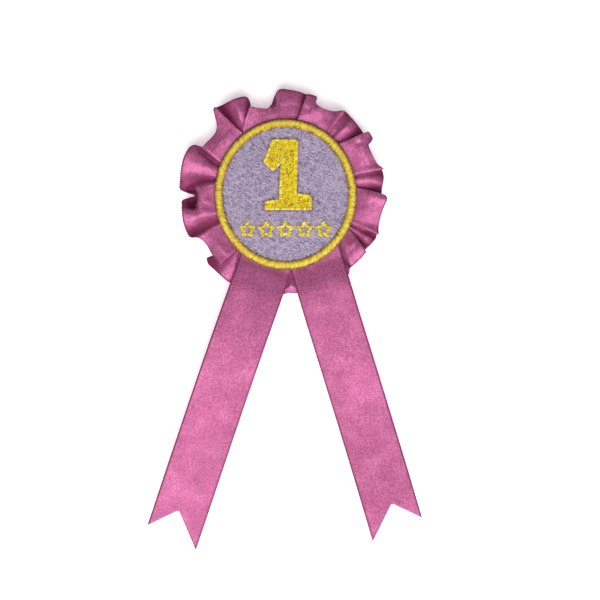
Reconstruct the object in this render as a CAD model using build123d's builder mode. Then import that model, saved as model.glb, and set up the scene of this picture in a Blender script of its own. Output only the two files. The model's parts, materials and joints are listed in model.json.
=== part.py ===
"""Award rosette: a gathered satin ruffle with an embroidered round patch, two
swallow-tailed ribbon tails and a bar pin on the back.

Millimetres. +X is to the right as the wearer's rosette is looked at, +Z is up
and the patch faces -Y. The origin is on the axis of the brooch needle, half way
along it. Depths called "h" are counted forward from the needle, so h = 5 lies
at Y = -5.
"""
from build123d import *
from math import cos, radians, sin
import os

# ---- driving dimensions ----
patch_drop = 12.0  # patch centre below the needle
ribbon_width = 25.0  # one-inch satin ribbon, for the ruffle and for the tails

# layers, as depths in front of the needle
bar_back = 3.0
bar_front = 3.6
felt_front = 4.8
card_front = 5.8
seam_front = 7.5  # the gathered inner edge of the ruffle, pressed flat
anchor_thickness = 0.35
tails_front = seam_front + 2 * anchor_thickness
patch_back = 8.9
stiffener_front = 9.9
cloth_front = 10.4
fill_front = 10.9
raised_front = 11.6  # border, numeral and stars stand on the fill

# round pieces
patch_half_width = 32.9  # the patch is a little taller than it is wide
patch_half_height = 34.8
border_width = 3.9
border_wall = 0.8
felt_radius = 30.0
card_radius = 29.0
seam_radius = 20.5
pad_radius = 19.5
gather_radius = 20.0
gather_thread = 0.42

# ruffle: depth of the free outer edge, and the slope that leaves the patch clear
ruffle_back = 4.0
ruffle_mid = 8.8
ruffle_front = 10.8
ruffle_root = 31.0
slope_start = 34.2
slope_end = 41.0
# each fold: clock angle where it starts and ends, outer radius at both, and the
# radius that the edge dips to before the next fold
ruffle_folds = [
    (-40.0, -22.5, 52.0, 49.5, 41.0),
    (-4.0, 17.5, 48.8, 48.0, 43.5),
    (35.0, 51.5, 48.0, 46.6, 46.2),
    (52.5, 57.0, 48.4, 48.0, 44.4),
    (75.5, 88.5, 46.8, 45.2, 44.9),
    (92.5, 114.0, 46.5, 46.5, 46.3),
    (115.0, 125.0, 46.5, 45.2, 45.0),
    (126.5, 138.0, 46.0, 45.8, 45.2),
    (141.0, 157.0, 47.0, 46.0, 45.3),
    (159.0, 174.0, 46.0, 45.8, 45.3),
    (176.0, 192.0, 45.9, 46.0, 45.3),
    (194.0, 211.0, 46.0, 47.6, 47.0),
    (213.0, 229.5, 48.0, 48.2, 43.3),
    (247.0, 268.0, 49.0, 48.0, 43.4),
    (271.5, 298.0, 49.2, 49.8, 43.3),
]

# tails: lean from vertical (+ is to the right), sideways shift of the centre line,
# and the distances from the patch centre of the long point, notch and short point
tail_start = 35.7  # where a tail leaves the patch and starts to swing
anchor_end = 35.05
anchor_start = 8.0
tail_thickness = 0.5
left_lean = -19.0
right_lean = 16.8
left_shift = 1.65
right_shift = 4.6
left_end = (169.0, 154.1, 165.4)
right_end = (164.7, 150.6, 160.8)
notch_shift = 0.9  # the notch lies this far from the middle, towards the outer point
# depth of a hanging tail's centre line against distance from the patch centre
tail_drape = [
    (tail_start, 8.05), (37.8, 8.4), (43.5, 10.0), (51, 10.8), (72, 11.9), (95, 11.4), (125, 10.5), (172, 9.4),
]
tail_room = 0.55  # how far the ruffle stays behind that centre line
bed_start = 28.0

# embroidery
numeral_outline_width = 1.3
numeral_points = [
    (-6.1, 25.5), (5.9, 25.5), (5.2, 0.6), (12.0, -0.4), (12.3, -7.2), (-9.5, -7.2), (-9.7, -3.2),
    (-3.0, -2.1), (-2.4, 12.4), (-1.8, 14.5), (-5.8, 10.6), (-10.3, 15.2), (-8.8, 18.3),
]
star_count = 5
star_radius = 4.3
star_waist = 0.45  # inner corner radius as a share of the outer one
star_stroke = 0.95
star_pitch = 8.8
star_drop = 16.2

# brooch bar
bar_length = 36.0
bar_width = 5.5
bar_hole_radius = 0.9
bar_hole_pitch = 8.0
needle_radius = 0.45
needle_neck_radius = 0.52
hinge_x = 15.0
catch_x = -14.2
eye_radius = 1.15
eye_half = 0.45
rivet_radius = 0.5
rivet_play = 0.06
ear_thickness = 0.5
ear_gap = 0.55  # from the needle's middle plane to an ear
ear_radius = 1.4
wall_start = 12.5  # ends of the needle's even round length
wall_end = -11.5
needle_tip = -16.8
catch_half = 1.3
barrel_bore = 0.60
barrel_radius = 1.10
catch_bore = 1.18
catch_radius = 1.75
barrel_slot = 1.2
catch_slot = 1.5
flange_gap = 0.1
flange_thickness = 0.45
flange_radius = 1.55
tab_reach = 2.7
tab_width = 1.3
stitch_width = 0.55
stitch_height = 0.4

# ---- reference planes ----
# local x is +X, local y is +Z and the normal points forward, so offset(h) is depth h
needle_face = Plane.XZ
patch_face = Plane(origin=(0, 0, -patch_drop), x_dir=(1, 0, 0), z_dir=(0, -1, 0))


def clock(angle, radius):
    """Point of the patch face at a clock angle: 0 is up, 90 is to the right."""
    return (radius * sin(radians(angle)), radius * cos(radians(angle)))


def patch_oval(inset=0.0, mode=Mode.ADD):
    """The patch's outline, or a line inside it."""
    return Ellipse(patch_half_width - inset, patch_half_height - inset, mode=mode)


def ring_arc(angle_a, radius_a, angle_b, radius_b, radius_mid):
    """Arc from one clock point to another, through a middle radius."""
    middle = clock((angle_a + angle_b) / 2, radius_mid)
    return ThreePointArc(clock(angle_a, radius_a), middle, clock(angle_b, radius_b))


def ruffle_outline():
    """The free edge of the ruffle: an arc over each fold and a dip after it."""
    for fold, following in zip(ruffle_folds, ruffle_folds[1:] + ruffle_folds[:1]):
        start, end, radius_start, radius_end, dip = fold
        next_start = following[0] if following[0] > end else following[0] + 360
        ring_arc(start, radius_start, end, radius_end, (radius_start + radius_end) / 2)
        ring_arc(end, radius_end, next_start, following[2], dip)


def tail_planes(lean, shift):
    """Flat plane of a tail (x to the right, y up it) and its side plane (x down, y forward)."""
    down = Vector(sin(radians(lean)), 0, -cos(radians(lean)))
    across = Vector(cos(radians(lean)), 0, sin(radians(lean)))
    centre = Vector(0, 0, -patch_drop) + across * shift
    flat = Plane(origin=centre, x_dir=across, z_dir=(0, -1, 0))
    side = Plane(origin=centre, x_dir=down, z_dir=down.cross(Vector(0, -1, 0)))
    return flat, side


def drape_points(offset):
    """The tail's side profile, moved forward by an offset."""
    return [(distance, depth + offset) for distance, depth in tail_drape]


# ---- gathered ruffle ----
left_flat, left_side = tail_planes(left_lean, left_shift)
right_flat, right_side = tail_planes(right_lean, right_shift)

with BuildPart() as ruffle_ribbon:
    # the pressed seam under the patch
    with BuildSketch(patch_face.offset(card_front)):
        Circle(slope_start)
        Circle(seam_radius, mode=Mode.SUBTRACT)
    extrude(amount=seam_front - card_front)
    # the spread outer part
    with BuildSketch(patch_face.offset(ruffle_back)):
        with BuildLine():
            ruffle_outline()
        make_face()
        Circle(ruffle_root, mode=Mode.SUBTRACT)
    extrude(amount=ruffle_mid - ruffle_back)
    # folds standing in front of the dips
    for start, end, radius_start, radius_end, _ in ruffle_folds:
        with BuildSketch(patch_face.offset(ruffle_mid - 1)):
            with BuildLine():
                inner_end = clock(end, slope_start)
                inner_start = clock(start, slope_start)
                ring_arc(start, radius_start, end, radius_end, (radius_start + radius_end) / 2)
                Line(clock(end, radius_end), inner_end)
                Line(inner_end, inner_start)
                Line(inner_start, clock(start, radius_start))
            make_face()
        extrude(amount=ruffle_front - ruffle_mid + 1)
    # slope that leaves the patch and its seam clear
    with BuildSketch(Plane(origin=(0, 0, -patch_drop), x_dir=(1, 0, 0), z_dir=(0, 0, 1))):
        with BuildLine():
            Polyline(
                (0, -seam_front), (slope_start, -seam_front), (slope_end, -ruffle_front),
                (slope_end, -20), (0, -20), (0, -seam_front),
            )
        make_face()
    revolve(axis=Axis((0, 0, -patch_drop), (0, 1, 0)), mode=Mode.SUBTRACT)
    # flat beds pressed by the tails
    for side in (left_side, right_side):
        with BuildSketch(side):
            with BuildLine():
                bed = Spline(*drape_points(-tail_room)[:5])
                Polyline(bed @ 1, (72, 20), (bed_start, 20), (bed_start, seam_front), bed @ 0)
            make_face()
        extrude(amount=ribbon_width / 2 + 0.5, both=True, mode=Mode.SUBTRACT)

with BuildPart() as gathering_thread:
    with BuildSketch(Plane(origin=(0, 0, -patch_drop), x_dir=(1, 0, 0), z_dir=(0, 0, 1))):
        with Locations((gather_radius, -(card_front + seam_front) / 2)):
            Circle(gather_thread)
    revolve(axis=Axis((0, 0, -patch_drop), (0, 1, 0)))

with BuildPart() as centre_pad:
    with BuildSketch(patch_face.offset(card_front)):
        Circle(pad_radius)
    extrude(amount=seam_front - card_front)


# ---- tails ----
def tail_anchor(flat, layer):
    """The end of a tail that is sewn down under the patch."""
    with BuildPart() as anchor:
        with BuildSketch(flat.offset(seam_front + layer * anchor_thickness)):
            with Locations((0, -(anchor_start + anchor_end) / 2)):
                Rectangle(ribbon_width, anchor_end - anchor_start)
        extrude(amount=anchor_thickness)
    return anchor


def hanging_tail(flat, side, end, inner_side):
    """A tail's draped side profile across the ribbon, cut to a swallow tail."""
    inner, notch, outer = end
    inner_x = inner_side * ribbon_width / 2
    with BuildPart() as tail:
        with BuildSketch(side):
            with BuildLine():
                back = Spline(*drape_points(-tail_thickness / 2))
                front = Spline(*drape_points(tail_thickness / 2))
                Line(back @ 0, front @ 0)
                Line(back @ 1, front @ 1)
            make_face()
        extrude(amount=ribbon_width / 2, both=True)
        with BuildSketch(flat):
            with BuildLine():
                Polyline(
                    (inner_x, -inner), (-inner_side * notch_shift, -notch), (-inner_x, -outer), (-inner_x * 1.1, -outer),
                    (-inner_x * 1.1, -200), (inner_x * 1.1, -200), (inner_x * 1.1, -inner), (inner_x, -inner),
                )
            make_face()
        extrude(amount=30, mode=Mode.SUBTRACT)
    return tail


tail_left_anchor = tail_anchor(left_flat, 0)
tail_right_anchor = tail_anchor(right_flat, 1)
tail_left = hanging_tail(left_flat, left_side, left_end, 1)
tail_right = hanging_tail(right_flat, right_side, right_end, -1)

with BuildPart() as tail_stitches:
    # two short bars of thread across each anchor
    for flat, anchor_front in ((left_flat, seam_front + anchor_thickness), (right_flat, tails_front)):
        with BuildSketch(flat.offset(anchor_front)):
            with Locations((-5, -28), (5, -28)):
                SlotOverall(4.5, 0.6)
        extrude(amount=0.4)

# ---- embroidered patch ----
with BuildPart() as patch_glue:
    # the upper half circle, where no tail is in the way
    with BuildSketch(patch_face.offset(seam_front)):
        patch_oval(5)
        with Locations((0, -40)):
            Rectangle(80, 80, mode=Mode.SUBTRACT)
    extrude(amount=patch_back - seam_front)

with BuildPart() as patch_stiffener:
    with BuildSketch(patch_face.offset(patch_back)):
        patch_oval(border_wall)
    extrude(amount=stiffener_front - patch_back)

with BuildPart() as patch_base_cloth:
    with BuildSketch(patch_face.offset(stiffener_front)):
        patch_oval(border_wall)
    extrude(amount=cloth_front - stiffener_front)

with BuildPart() as patch_fill:
    with BuildSketch(patch_face.offset(cloth_front)):
        patch_oval(border_width)
    extrude(amount=fill_front - cloth_front)

with BuildPart() as patch_border:
    # the overlocked rim wraps the edge of the patch
    with BuildSketch(patch_face.offset(patch_back)):
        patch_oval()
        patch_oval(border_wall, Mode.SUBTRACT)
    extrude(amount=raised_front - patch_back)
    with BuildSketch(patch_face.offset(cloth_front)):
        patch_oval()
        patch_oval(border_width, Mode.SUBTRACT)
    extrude(amount=raised_front - cloth_front)
    front_edges = patch_border.edges().filter_by(GeomType.ELLIPSE).group_by(Axis.Y)[0]
    fillet(front_edges, radius=0.6)

with BuildPart() as numeral_fill:
    with BuildSketch(patch_face.offset(fill_front)):
        Polygon(*numeral_points, align=None)
        offset(amount=-numeral_outline_width, kind=Kind.INTERSECTION, mode=Mode.REPLACE)
    extrude(amount=(raised_front - fill_front) * 0.75)

with BuildPart() as numeral_outline:
    with BuildSketch(patch_face.offset(fill_front)) as numeral_sketch:
        Polygon(*numeral_points, align=None)
        with BuildSketch(mode=Mode.PRIVATE) as numeral_inner:
            Polygon(*numeral_points, align=None)
            offset(amount=-numeral_outline_width, kind=Kind.INTERSECTION, mode=Mode.REPLACE)
        add(numeral_inner.sketch, mode=Mode.SUBTRACT)
    extrude(amount=raised_front - fill_front)


def star_corners(radius):
    """Ten corners of an upright five-pointed star."""
    return [clock(36 * k, radius * (star_waist if k % 2 else 1)) for k in range(10)]


star_places = [(star_pitch * (k - (star_count - 1) / 2), -star_drop) for k in range(star_count)]

with BuildPart() as star_row:
    with BuildSketch(patch_face.offset(fill_front)):
        with Locations(*star_places):
            Polygon(*star_corners(star_radius), align=None)
            Polygon(*star_corners(star_radius - 2 * star_stroke), align=None, mode=Mode.SUBTRACT)
    extrude(amount=(raised_front - fill_front) * 0.75)

# ---- backing ----
with BuildPart() as mounting_card:
    with BuildSketch(patch_face.offset(felt_front)):
        Circle(card_radius)
    extrude(amount=card_front - felt_front)

with BuildPart() as backing_felt:
    with BuildSketch(patch_face.offset(bar_front)):
        Circle(felt_radius)
    extrude(amount=felt_front - bar_front)

# ---- brooch bar ----
hole_places = [(bar_hole_pitch * k, 0) for k in (-1, 0, 1)]

with BuildPart() as pin_bar:
    with BuildSketch(needle_face.offset(bar_back)):
        SlotOverall(bar_length, bar_width)
        with Locations(*hole_places):
            Circle(bar_hole_radius, mode=Mode.SUBTRACT)
    extrude(amount=bar_front - bar_back)

with BuildPart() as bar_stitches:
    # a loop of thread from each hole over both edges of the bar
    for side in (-1, 1):
        for x, _ in hole_places:
            with BuildSketch(Plane.YZ.offset(x)):
                with BuildLine():
                    Polyline(
                        (-bar_front, side * 0.15), (-bar_back + stitch_height, side * 0.15),
                        (-bar_back + stitch_height, side * (bar_width / 2 + stitch_height)),
                        (-bar_front, side * (bar_width / 2 + stitch_height)),
                        (-bar_front, side * bar_width / 2), (-bar_back, side * bar_width / 2),
                        (-bar_back, side * 0.55), (-bar_front, side * 0.55), (-bar_front, side * 0.15),
                    )
                make_face()
            extrude(amount=stitch_width / 2, both=True)

with BuildPart() as hinge_bracket:
    with BuildSketch(needle_face.offset(bar_back)):
        with Locations((hinge_x, 0)):
            RectangleRounded(2 * ear_radius + 0.8, 2 * (ear_gap + ear_thickness), 0.3)
    extrude(amount=-0.5)
    for low in (ear_gap, -ear_gap - ear_thickness):
        with BuildSketch(Plane.XY.offset(low)):
            with Locations((hinge_x, 0)):
                Circle(ear_radius)
            with Locations((hinge_x, -bar_back / 2)):
                Rectangle(2 * ear_radius, bar_back)
            with Locations((hinge_x, 0)):
                Circle(rivet_radius, mode=Mode.SUBTRACT)
        extrude(amount=ear_thickness)

with BuildPart() as hinge_rivet:
    head_start = ear_gap + ear_thickness
    with BuildSketch(Plane.XY.offset(-head_start - 0.35)):
        with Locations((hinge_x, 0)):
            Circle(rivet_radius + 0.35)
    extrude(amount=0.35)
    with BuildSketch(Plane.XY.offset(-head_start)):
        with Locations((hinge_x, 0)):
            Circle(rivet_radius)
    extrude(amount=2 * head_start)
    with BuildSketch(Plane.XY.offset(head_start)):
        with Locations((hinge_x, 0)):
            Circle(rivet_radius + 0.35)
    extrude(amount=0.35)

with BuildPart() as pin_needle:
    with BuildSketch(Plane.XY):
        with BuildLine():
            Polyline(
                (hinge_x, 0), (hinge_x, needle_neck_radius * 0.8), (wall_start + 0.2, needle_neck_radius),
                (wall_start, needle_radius), (wall_end, needle_radius), (needle_tip, 0.06),
                (needle_tip, 0), (hinge_x, 0),
            )
        make_face()
    revolve(axis=Axis.X)
    with BuildSketch(Plane.XY.offset(-eye_half)):
        with Locations((hinge_x, 0)):
            Circle(eye_radius)
    extrude(amount=2 * eye_half)
    with BuildSketch(Plane.XY.offset(-eye_half - 1)):
        with Locations((hinge_x, 0)):
            Circle(rivet_radius + rivet_play)
    extrude(amount=2 * eye_half + 2, mode=Mode.SUBTRACT)

with BuildPart() as catch_post:
    # a curled C open to the back, on a short stem
    with BuildSketch(Plane.YZ.offset(catch_x - catch_half)):
        with Locations((-bar_back / 2, 0)):
            Rectangle(bar_back, 2.2)
        Circle(catch_radius)
        Circle(catch_bore, mode=Mode.SUBTRACT)
        with Locations((catch_radius, 0)):
            Rectangle(2 * catch_radius, catch_slot, mode=Mode.SUBTRACT)
    extrude(amount=2 * catch_half)

barrel_start = catch_x - catch_half - flange_gap - flange_thickness
barrel_length = 2 * (catch_half + flange_gap + flange_thickness)

with BuildPart() as catch_barrel:
    with BuildSketch(Plane.YZ.offset(barrel_start)):
        Circle(barrel_radius)
    extrude(amount=barrel_length)
    # a flange at each end keeps it in the catch; the outer one carries the thumb tab
    with BuildSketch(Plane.YZ.offset(barrel_start)):
        Circle(flange_radius)
        with Locations((0, tab_reach / 2)):
            Rectangle(tab_width, tab_reach)
    extrude(amount=flange_thickness)
    with BuildSketch(Plane.YZ.offset(barrel_start + barrel_length - flange_thickness)):
        Circle(flange_radius)
    extrude(amount=flange_thickness)
    with BuildSketch(Plane.YZ.offset(barrel_start - 1)):
        Circle(barrel_bore)
        with Locations((flange_radius, 0)):
            Rectangle(2 * flange_radius, barrel_slot)
    extrude(amount=barrel_length + 2, mode=Mode.SUBTRACT)

# ---- export ----
pieces = {
    "ruffle_ribbon": ruffle_ribbon,
    "gathering_thread": gathering_thread,
    "centre_pad": centre_pad,
    "tail_left_anchor": tail_left_anchor,
    "tail_right_anchor": tail_right_anchor,
    "tail_left": tail_left,
    "tail_right": tail_right,
    "tail_stitches": tail_stitches,
    "patch_glue": patch_glue,
    "patch_stiffener": patch_stiffener,
    "patch_base_cloth": patch_base_cloth,
    "patch_fill": patch_fill,
    "patch_border": patch_border,
    "numeral_fill": numeral_fill,
    "numeral_outline": numeral_outline,
    "star_row": star_row,
    "mounting_card": mounting_card,
    "backing_felt": backing_felt,
    "pin_bar": pin_bar,
    "bar_stitches": bar_stitches,
    "hinge_bracket": hinge_bracket,
    "hinge_rivet": hinge_rivet,
    "pin_needle": pin_needle,
    "catch_post": catch_post,
    "catch_barrel": catch_barrel,
}

os.makedirs("parts", exist_ok=True)
for label, piece in pieces.items():
    piece.part.label = label
    export_step(piece.part, f"parts/{label}.step")
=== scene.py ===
"""Looks of an award rosette: gathered satin ruffle, swallow-tailed satin tails, an
embroidered patch, felt backing and a brooch bar.

Shapes are worked out in millimetres on the face of the patch: x to the right, z up,
both from the patch centre, and a depth h counted forward from the brooch needle.
"""

import json
from math import cos, pi, radians, sin

import bpy
import numpy as np
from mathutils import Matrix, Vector, noise


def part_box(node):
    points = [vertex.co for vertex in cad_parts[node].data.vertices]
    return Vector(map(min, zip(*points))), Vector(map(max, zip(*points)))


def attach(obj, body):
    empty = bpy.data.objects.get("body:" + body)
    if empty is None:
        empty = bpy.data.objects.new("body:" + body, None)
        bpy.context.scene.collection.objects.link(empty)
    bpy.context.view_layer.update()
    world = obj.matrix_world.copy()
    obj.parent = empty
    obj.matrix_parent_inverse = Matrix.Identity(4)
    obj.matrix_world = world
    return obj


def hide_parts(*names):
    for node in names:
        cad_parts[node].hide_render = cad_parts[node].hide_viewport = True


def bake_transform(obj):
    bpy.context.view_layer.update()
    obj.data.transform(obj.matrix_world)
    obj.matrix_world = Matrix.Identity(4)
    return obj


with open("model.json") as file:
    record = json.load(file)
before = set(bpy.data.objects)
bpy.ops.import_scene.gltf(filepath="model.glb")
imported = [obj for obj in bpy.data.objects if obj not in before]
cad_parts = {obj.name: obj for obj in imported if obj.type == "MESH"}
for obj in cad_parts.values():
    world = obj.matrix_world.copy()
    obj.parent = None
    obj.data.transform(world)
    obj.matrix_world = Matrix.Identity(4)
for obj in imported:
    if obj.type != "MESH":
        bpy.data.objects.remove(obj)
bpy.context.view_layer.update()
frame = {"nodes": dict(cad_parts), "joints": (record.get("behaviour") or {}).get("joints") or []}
joints = {joint["name"]: joint for joint in frame["joints"]}
rng = np.random.default_rng(7)

# ---- the CAD model's places, in millimetres ----
MM = 0.001  # metres in a millimetre


def depth_range(node):
    """Back and front depth of a CAD node."""
    low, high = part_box(node)
    return -high.y / MM, -low.y / MM


def half_sides(node):
    """Half the width and half the height of a CAD node."""
    low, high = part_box(node)
    return np.array([(high.x - low.x) / 2 / MM, (high.z - low.z) / 2 / MM])


border_low, border_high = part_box("patch_border")
patch_z = (border_low.z + border_high.z) / 2
patch_half = half_sides("patch_border")
fill_half = half_sides("patch_fill")
seam_back, seam_front = depth_range("centre_pad")
patch_back, raised_front = depth_range("patch_border")
fill_back, fill_front = depth_range("patch_fill")
bar_front = depth_range("pin_bar")[1]


def place(x, z, h):
    """Scene position, in metres, of points given on the patch face."""
    x, z, h = np.broadcast_arrays(np.asarray(x, float), z, h)
    return np.stack([x * MM, -h * MM, z * MM + patch_z], axis=-1)


def clock(angle, radius):
    """x and z at a clock angle in degrees: 0 is up, 90 is to the right."""
    angle = np.radians(angle)
    return radius * np.sin(angle), radius * np.cos(angle)


def oval(angle, half, inset=0.0):
    """x and z on an oval with those half sides, or inside it."""
    angle = np.radians(angle)
    return (half[0] - inset) * np.sin(angle), (half[1] - inset) * np.cos(angle)


# ---- mesh helpers ----
def mesh_object(name, points, faces, uv=None, tones=None):
    """Smooth mesh piece. uv and tones are given per point."""
    mesh = bpy.data.meshes.new(name)
    mesh.from_pydata(np.asarray(points).reshape(-1, 3).tolist(), [], faces)
    if uv is not None:
        corners = np.empty(len(mesh.loops), dtype=np.int64)
        mesh.loops.foreach_get("vertex_index", corners)
        layer = mesh.uv_layers.new(name="ribbon")
        layer.data.foreach_set("uv", np.asarray(uv).reshape(-1, 2)[corners].ravel())
    if tones is not None:
        attribute = mesh.attributes.new("tone", "FLOAT", "POINT")
        attribute.data.foreach_set("value", np.asarray(tones, dtype=np.float32).ravel())
    mesh.polygons.foreach_set("use_smooth", [True] * len(mesh.polygons))
    mesh.update()
    piece = bpy.data.objects.new(name, mesh)
    bpy.context.scene.collection.objects.link(piece)
    return piece


def grid_faces(columns, rows):
    """Quads of a grid of points numbered along the rows first."""
    starts = (i * rows + j for i in range(columns - 1) for j in range(rows - 1))
    return [(a, a + rows, a + rows + 1, a + 1) for a in starts]


def thicken(piece, thickness):
    """Gives a sheet its thickness in millimetres, evenly on both sides."""
    modifier = piece.modifiers.new("thickness", "SOLIDIFY")
    modifier.thickness = thickness * MM
    modifier.offset = 0
    return piece


def thread_piece(name, paths, radius, sides=5, tones=None):
    """Many short threads in one mesh. paths is (threads, points, 3) in metres, radius in
    millimetres."""
    paths = np.asarray(paths, float)
    count, steps = paths.shape[:2]
    along = np.gradient(paths, axis=1)
    along /= np.linalg.norm(along, axis=2, keepdims=True) + 1e-12
    forward = np.broadcast_to([0.0, -1.0, 0.0], along.shape)
    side = np.cross(along, forward)
    side /= np.linalg.norm(side, axis=2, keepdims=True) + 1e-12
    up = np.cross(side, along)
    turn = np.arange(sides) * 2 * pi / sides
    radii = np.broadcast_to(np.asarray(radius, float) * MM, (count, steps))[..., None, None]
    ring = np.cos(turn)[:, None] * side[:, :, None] + np.sin(turn)[:, None] * up[:, :, None]
    points = paths[:, :, None] + radii * ring
    faces = []
    for n in range(count):
        for s in range(steps - 1):
            a = (n * steps + s) * sides
            for k in range(sides):
                after = (k + 1) % sides
                faces.append((a + k, a + after, a + sides + after, a + sides + k))
    if tones is None:
        tones = rng.random(count)
    tones = np.broadcast_to(np.asarray(tones).reshape(count, -1), (count, steps))
    return mesh_object(name, points, faces, tones=np.repeat(tones, sides))


def smooth(points, samples, closed=False):
    """Points along smooth curves through points[0], points[1] and so on.

    points is (knots, curves, 3), and samples is the number of steps from each knot to the
    next. The knots are spaced by the square root of the chord, so tight folds stay tight.
    """
    if closed:
        ring = np.concatenate([points[-1:], points, points[:2]])
    else:
        ring = np.concatenate([2 * points[:1] - points[1:2], points, 2 * points[-1:] - points[-2:-1]])
    spacing = np.sqrt(np.linalg.norm(np.diff(ring, axis=0), axis=2).mean(axis=1))
    result = []
    for i in range(1, len(ring) - 2):
        p0, p1, p2, p3 = ring[i - 1 : i + 3]
        d0, d1, d2 = spacing[i - 1 : i + 2]
        m1 = ((p1 - p0) / d0 - (p2 - p0) / (d0 + d1) + (p2 - p1) / d1) * d1
        m2 = ((p2 - p1) / d1 - (p3 - p1) / (d1 + d2) + (p3 - p2) / d2) * d1
        for t in np.arange(samples) / samples:
            result.append(
                (2 * t**3 - 3 * t**2 + 1) * p1 + (t**3 - 2 * t**2 + t) * m1
                + (-2 * t**3 + 3 * t**2) * p2 + (t**3 - t**2) * m2
            )
    return np.array(result + [ring[-2]])


def grain(points, scale, seed):
    """Smooth noise from -1 to 1 at points in metres, with lumps of a size in millimetres."""
    offset = Vector((seed * 3.1, seed * 1.7, 0))
    flat = [noise.noise(Vector(p) / (scale * MM) + offset) for p in points.reshape(-1, 3)]
    return np.array(flat).reshape(points.shape[:-1])


# ---- tails: their lines and depths come from the CAD model ----
class TailFrame:
    """Where a tail runs: its hinge on the patch's edge, its direction and its depth."""

    def __init__(self, node, joint, body):
        self.node, self.body = node, body
        self.hinge = Vector(joints[joint]["pos_m"])
        self.across = -Vector(joints[joint]["axis"]).normalized()
        self.down = Vector((self.across.z, 0, -self.across.x))
        corners = [vertex.co for vertex in frame["nodes"][node].data.vertices]
        runs = np.array([(co - self.hinge).dot(self.down) / MM for co in corners])
        depths = np.array([-co.y / MM for co in corners])
        # depth along the tail: the middle of the strip in each of forty lengths
        edges = np.linspace(runs.min(), runs.max(), 41)
        bins = np.digitize(runs, edges)
        filled = [k for k in range(1, len(edges) + 1) if (bins == k).any()]
        self.runs = np.array([runs[bins == k].mean() for k in filled])
        sheets = [depths[bins == k] for k in filled]
        self.depths = np.array([(sheet.min() + sheet.max()) / 2 for sheet in sheets])
        sides = np.array([(co - self.hinge).dot(self.across) / MM for co in corners])
        half = sides.max()
        # the two points and the notch of the swallow tail, from the slanting faces of the cut
        slanting = [
            face for face in frame["nodes"][node].data.polygons
            if 0.3 < abs(face.normal.dot(self.across)) < 0.95 and abs(face.normal.y) < 0.3
        ]
        cut = sorted({corner for face in slanting for corner in face.vertices})
        apex = cut[np.argmin(runs[cut])]
        self.notch = (sides[apex], runs[apex])
        self.left_point = runs[sides < 0.1 - half].max()
        self.right_point = runs[sides > half - 0.1].max()

    def split(self, x, z):
        """Distance past the hinge and distance across, of points on the patch face."""
        dx = np.asarray(x) - self.hinge.x / MM
        dz = np.asarray(z) + (patch_z - self.hinge.z) / MM
        return dx * self.down.x + dz * self.down.z, dx * self.across.x + dz * self.across.z

    def join(self, run, across):
        """x and z on the patch face of a point of the tail."""
        x = self.hinge.x / MM + run * self.down.x + across * self.across.x
        z = (self.hinge.z - patch_z) / MM + run * self.down.z + across * self.across.z
        return x, z

    def depth(self, run):
        return np.interp(run, self.runs, self.depths)


left_tail = TailFrame("tail_left", "tail_left_lift", "left_tail")
right_tail = TailFrame("tail_right", "tail_right_lift", "right_tail")
ribbon_width = 25.0
ribbon_thickness = 0.32
sewn_length = 27.0  # of each tail, under the patch

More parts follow.
